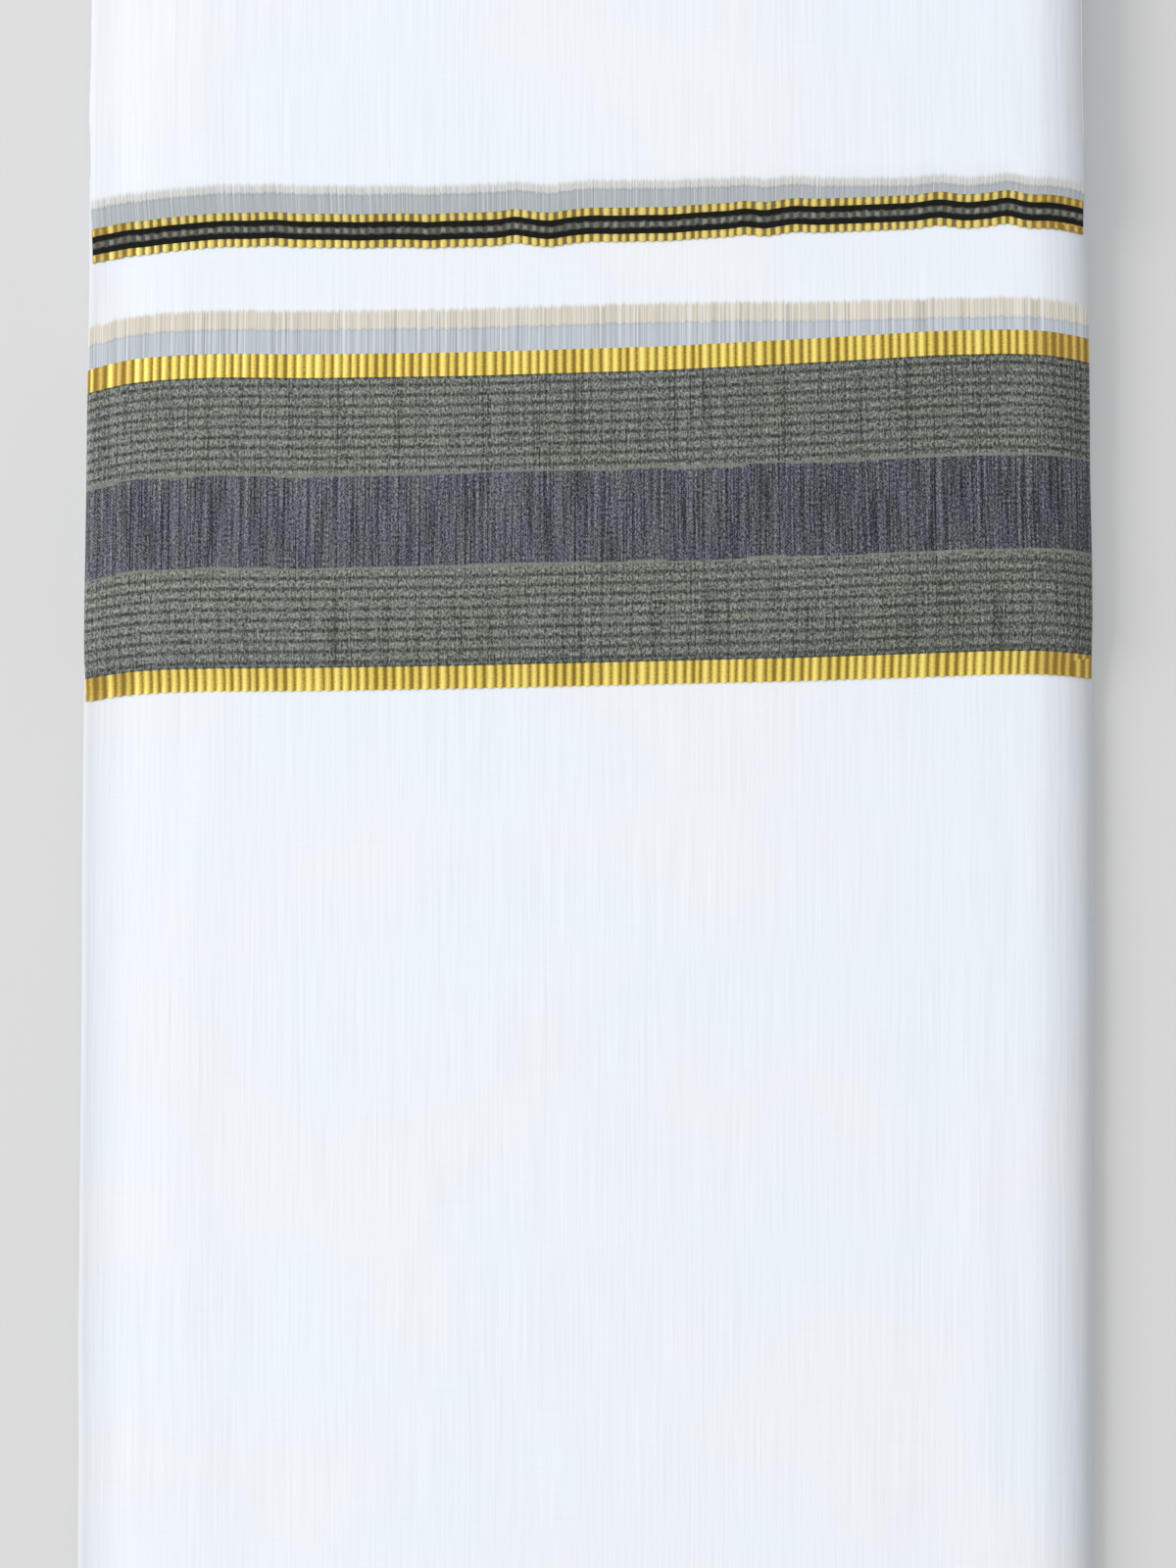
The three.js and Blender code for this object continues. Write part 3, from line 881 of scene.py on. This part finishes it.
def make_body():
    rows = spaced(BOTTOM_TURN_Y, BODY_END, 2.0)
    relief = plain(BODY_CREASES)
    body = cover_piece("front_body_cloth", BODY_HALF, BODY_LIP, rows, on_body, relief, 2.0)
    add(body, "front_body", WHITE_COTTON)
    width = cut_width(BODY_HALF, BODY_LIP)
    folded_sheet(width, BODY_END - BOTTOM_TURN_Y)

    rows = spaced(BOTTOM_TURN_Y, TOP_TURN_Y, 3.0)[::-1]
    back = cover_piece("back_panel_cloth", BODY_HALF, BODY_LIP, rows, on_back, back_relief, 3.0)
    add(back, "back_panel", WHITE_COTTON)
    folded_sheet(width, TOP_TURN_Y - BOTTOM_TURN_Y)

    bottom = cover_piece(
        "bottom_fold_cloth", BODY_HALF, BODY_LIP, TURN, round_bottom, nothing, 2.0, turn=STACK
    )
    add(bottom, "bottom_fold", WHITE_COTTON)
    folded_sheet(width, math.pi * STACK)


def make_front_flap():
    width = cut_width(FRONT_HALF, BODY_LIP)
    top = cover_piece(
        "top_fold_cloth", FRONT_HALF, BODY_LIP, TURN, round_top, nothing, 2.0, turn=2 * STACK
    )
    add(top, "top_fold", WHITE_COTTON)
    folded_sheet(width, math.pi * 2 * STACK)

    for key, band in NARROW_BANDS.items():
        name = "narrow_border_" + key
        piece = ribbed_piece(name + "_cloth", FRONT_HALF, BODY_LIP, band, on_front_flap, False)
        if key == "stripe":
            add(piece, name, stripe("black_stripe"))
        else:
            add(piece, name, zari("narrow_" + key, band))
    rows = spaced(0, FRONT_WHITE, 1.6)
    relief = plain(FLAP_CREASES)
    flap = cover_piece("front_flap_cloth", FRONT_HALF, BODY_LIP, rows, front_white_place, relief)
    ghost = white_cotton("white_cotton_front", ghost=FRONT_GHOST)
    add(flap, "front_flap", ghost)
    folded_sheet(width, FRONT_WHITE)


def make_under_flap():
    width = cut_width(UNDER_HALF, UNDER_LIP)
    relief = plain(UNDER_CREASES)
    for key, band in WIDE_BANDS.items():
        name = "wide_border_" + key
        if "zari" in key:
            piece = ribbed_piece(name + "_cloth", UNDER_HALF, UNDER_LIP, band, on_under_flap, True)
            add(piece, name, zari("wide_" + key))
            continue
        rows = spaced(*band, 1.2)
        piece = cover_piece(
            name + "_cloth", UNDER_HALF, UNDER_LIP, rows, on_under_flap, relief, 1.2, flip_depth=True
        )
        if "check" in key:
            add(piece, name, border_ground("wide_" + key, *band, "check"))
        else:
            add(piece, name, border_ground("wide_" + key, *band, "melange"))
        folded_sheet(width, band[1] - band[0])
    rows = spaced(WIDE_WIDTH, UNDER_END, 1.6)
    flap = cover_piece(
        "under_flap_cloth", UNDER_HALF, UNDER_LIP, rows, on_under_flap, relief, flip_depth=True
    )
    ghost = white_cotton("white_cotton_under", ghost=UNDER_GHOST)
    add(flap, "under_flap", ghost)
    folded_sheet(width, UNDER_END - WIDE_WIDTH)


WHITE_COTTON = white_cotton("white_cotton")
make_body()
make_front_flap()
make_under_flap()

# ---- Hidden layers ----
# Only their creased edges show, so each crease is a narrow strip that follows the whole path.

HIDDEN_SHELL = 0.16  # thickness of a strip
HIDDEN_REACH = 7.0  # how far in from its crease a strip runs
COVERED = 0.34  # how far inside the outermost layer the strips lie
BARE = 0.02  # the same where there is no cover, out of sight from above
OUT_OF_SIGHT = ("body end", "inside", "under end")


def strip(side, section, stretch, places, seed, clear):
    """A narrow strip's points along one side, 1 for the right and -1 for the left, and its cloth_uv.

    section has (inset from the edge, depth) pairs. clear is how far it stays inside both faces of its
    stack. The edge wanders a little, never outwards.
    """
    path, unit = PATHS[stretch]
    places = np.asarray(places, dtype=float)[:, None]
    inset = np.array([pair[0] for pair in section])[None, :]
    depth = np.array([pair[1] for pair in section])[None, :]
    share = np.linspace(0, 1, len(places))[:, None]
    travel = places * unit
    slack = 0.22 * (1 + wander(travel, seed, 46)) + 0.10 * (1 + wander(travel, seed + 3, 13))
    x = side * (half_at(stretch, share) - inset - slack - clear * 0.6)
    near_y, near_z = path(x, places, 0.0)
    far_y, far_z = path(x, places, 1.0)
    thick = np.maximum(np.hypot(far_y - near_y, far_z - near_z), 1e-6)
    keep = np.minimum(clear / thick, 0.45)
    depth = keep + (1 - 2 * keep) * (depth + 0.006 * wander(travel, seed + 5, 38))
    y = mix(near_y, far_y, depth)
    z = mix(near_z, far_z, depth)
    points = np.stack([widened(x, y), y, z], axis=-1)
    cloth_uv = np.stack([inset * side + 0 * x, travel + 0 * x], axis=-1)
    return points, cloth_uv


def crease_section(low, high):
    """A fold between two depths, as (inset, depth) pairs from its far tail round to its near tail."""
    middle, spread = (low + high) / 2, (high - low) / 2
    radius = spread * STACK
    turn = np.radians(np.linspace(-90, 90, 7))
    round_part = [(radius * (1 - math.cos(a)), middle - spread * math.sin(a)) for a in turn]
    far_tail = [(HIDDEN_REACH, high), (radius + 1.2, high)]
    near_tail = [(radius + 1.2, low), (HIDDEN_REACH, low)]
    return [*far_tail, *round_part, *near_tail]


def end_section(depth, inset):
    """A cut end: a flat strip whose edge is a little inside the creases."""
    return [(inset, depth), (inset + 1.5, depth), (HIDDEN_REACH, depth)]


FRONT_LENGTH = TOP_TURN_Y - FRONT_END_Y
UNDER_LENGTH = TOP_TURN_Y - UNDER_END_Y


def along_front(x, share, depth):
    """The front flap's stack, from its selvage to where the top fold starts to turn."""
    start = front_selvage(x)
    y = mix(start, TOP_TURN_Y, share)
    return y, front_height(x, y, y - start, depth)


def along_under(x, share, depth):
    """The under flap's stack, from its selvage to the turn inside the top fold."""
    start = under_place(x, 0)
    y = mix(start, TOP_TURN_Y, share)
    return y, under_height(x, y, y - start, depth)


# Each stretch of the strip: its path, and the cloth's length for one unit of place.
PATHS = {
    "front": (along_front, FRONT_LENGTH),
    "top": (round_top, 1.5 * STACK),
    "back": (on_back, 1.0),
    "bottom": (round_bottom, 0.5 * STACK),
    "body": (on_body, 1.0),
    "body end": (on_body, 1.0),
    "inside": (round_inside_top, 0.5 * STACK),
    "under": (along_under, UNDER_LENGTH),
    "under end": (along_under, UNDER_LENGTH),
}

# Half widths at the start and the end of the stretches that aren't the body or under flap.
HALVES = {
    "front": (FRONT_HALF, FRONT_HALF),
    "top": (FRONT_HALF, BODY_HALF),
    "inside": (BODY_HALF, UNDER_HALF),
}


def half_at(stretch, share):
    """Half width of the strip at a share of the way along a stretch."""
    plain_half = UNDER_HALF if stretch.startswith("under") else BODY_HALF
    return mix(*HALVES.get(stretch, (plain_half, plain_half)), share)


def places_for(stretch, setback):
    """Places along a stretch. setback is how far a layer's selvage lies inside the flap's."""
    turn = np.radians(np.linspace(0, 180, 17))
    return {
        "front": spaced(setback, FRONT_LENGTH, 3.0) / FRONT_LENGTH,
        "top": turn,
        "back": spaced(BOTTOM_TURN_Y, TOP_TURN_Y, 4.0)[::-1],
        "bottom": turn,
        "body": spaced(BOTTOM_TURN_Y, BODY_END, 4.0),
        "body end": spaced(BODY_END, TOP_TURN_Y, 4.0),
        "inside": turn,
        "under": spaced(setback, UNDER_END, 3.0)[::-1] / UNDER_LENGTH,
        "under end": spaced(UNDER_END, UNDER_LENGTH, 3.0)[::-1] / UNDER_LENGTH,
    }[stretch]


def make_hidden_layers():
    """The creased edges of the inner layers: narrow strips that follow the whole path on both sides.

    Each has its side, its section, how far its selvage lies inside the flap's, and the seed of its
    wandering edge.
    """
    creased = (
        (1, crease_section(0.0, 0.5), 9.0, 0),
        (1, crease_section(0.75, 1.0), 10.0, 1),
        (1, crease_section(0.63, 0.72), 12.0, 2),
        (1, end_section(0.585, 0.5), 14.0, 30),
        (1, end_section(0.535, 1.1), 12.0, 33),
        (-1, crease_section(0.0, 1.0)[::-1], 9.0, 20),
    )
    points, faces, cloth_uv = [], [], []
    made = 0
    for stretch in PATHS:
        clear = BARE if stretch in OUT_OF_SIGHT else COVERED
        for side, section, setback, seed in creased:
            part, part_uv = strip(side, section, stretch, places_for(stretch, setback), seed, clear)
            every, some, uv = shell_parts(part, part_uv, HIDDEN_SHELL, made)
            points.append(every)
            faces.extend(some)
            cloth_uv.append(uv)
            made += len(every)
    hidden = piece_from("hidden_layers_cloth", np.concatenate(points), faces, np.concatenate(cloth_uv))
    add(hidden, "hidden_layers", WHITE_COTTON)
    area = sum(face.area for face in hidden.data.polygons) / 2
    folded_sheet(area / MM / MM / CUT_WIDTH, CUT_WIDTH)


make_hidden_layers()

# ---- Floor, light and camera ----

FLOOR_HALF = 3.0  # metres
FLOOR_Z = -0.00005  # metres, just below the underside
WORLD_STRENGTH = 0.80

corners = [(FLOOR_HALF * x, FLOOR_HALF * y, FLOOR_Z) for x, y in ((-1, -1), (1, -1), (1, 1), (-1, 1))]
floor_mesh = bpy.data.meshes.new("floor")
floor_mesh.from_pydata(corners, [], [(0, 1, 2, 3)])
floor = bpy.data.objects.new("floor", floor_mesh)
floor_mesh.materials.append(floor_material())
bpy.context.scene.collection.objects.link(floor)

world = bpy.data.worlds.new("studio")
world.use_nodes = True
world.node_tree.nodes["Background"].inputs["Color"].default_value = (*SKY, 1.0)
world.node_tree.nodes["Background"].inputs["Strength"].default_value = WORLD_STRENGTH
bpy.context.scene.world = world


def softbox(name, place, size, watts):
    """A square lamp that faces the cloth. place and size are in metres."""
    light = bpy.data.lights.new(name, "AREA")
    light.shape = "SQUARE"
    light.size = size
    light.energy = watts
    made = bpy.data.objects.new(name, light)
    made.location = place
    made.rotation_euler = (-made.location).to_track_quat("-Z", "Y").to_euler()
    bpy.context.scene.collection.objects.link(made)


softbox("key", (-2.45, 0.62, 1.58), 1.6, 54.0)

scene = bpy.context.scene
scene.view_settings.view_transform = "Standard"

# The camera looks almost straight down at the middle of the framed stretch.
AIM = (0.0, 6.0, 3 * STACK)
DISTANCE = 423.0
TILT = math.radians(1.8)
camera = bpy.data.cameras.new("camera")
camera.sensor_width = 36.0
camera.lens = 42.4
eye = bpy.data.objects.new("camera", camera)
eye_y = AIM[1] - DISTANCE * math.sin(TILT)
eye_z = AIM[2] + DISTANCE * math.cos(TILT)
eye.location = (AIM[0] * MM, eye_y * MM, eye_z * MM)
eye.rotation_euler = (TILT, 0.0, 0.0)
scene.collection.objects.link(eye)
scene.camera = eye
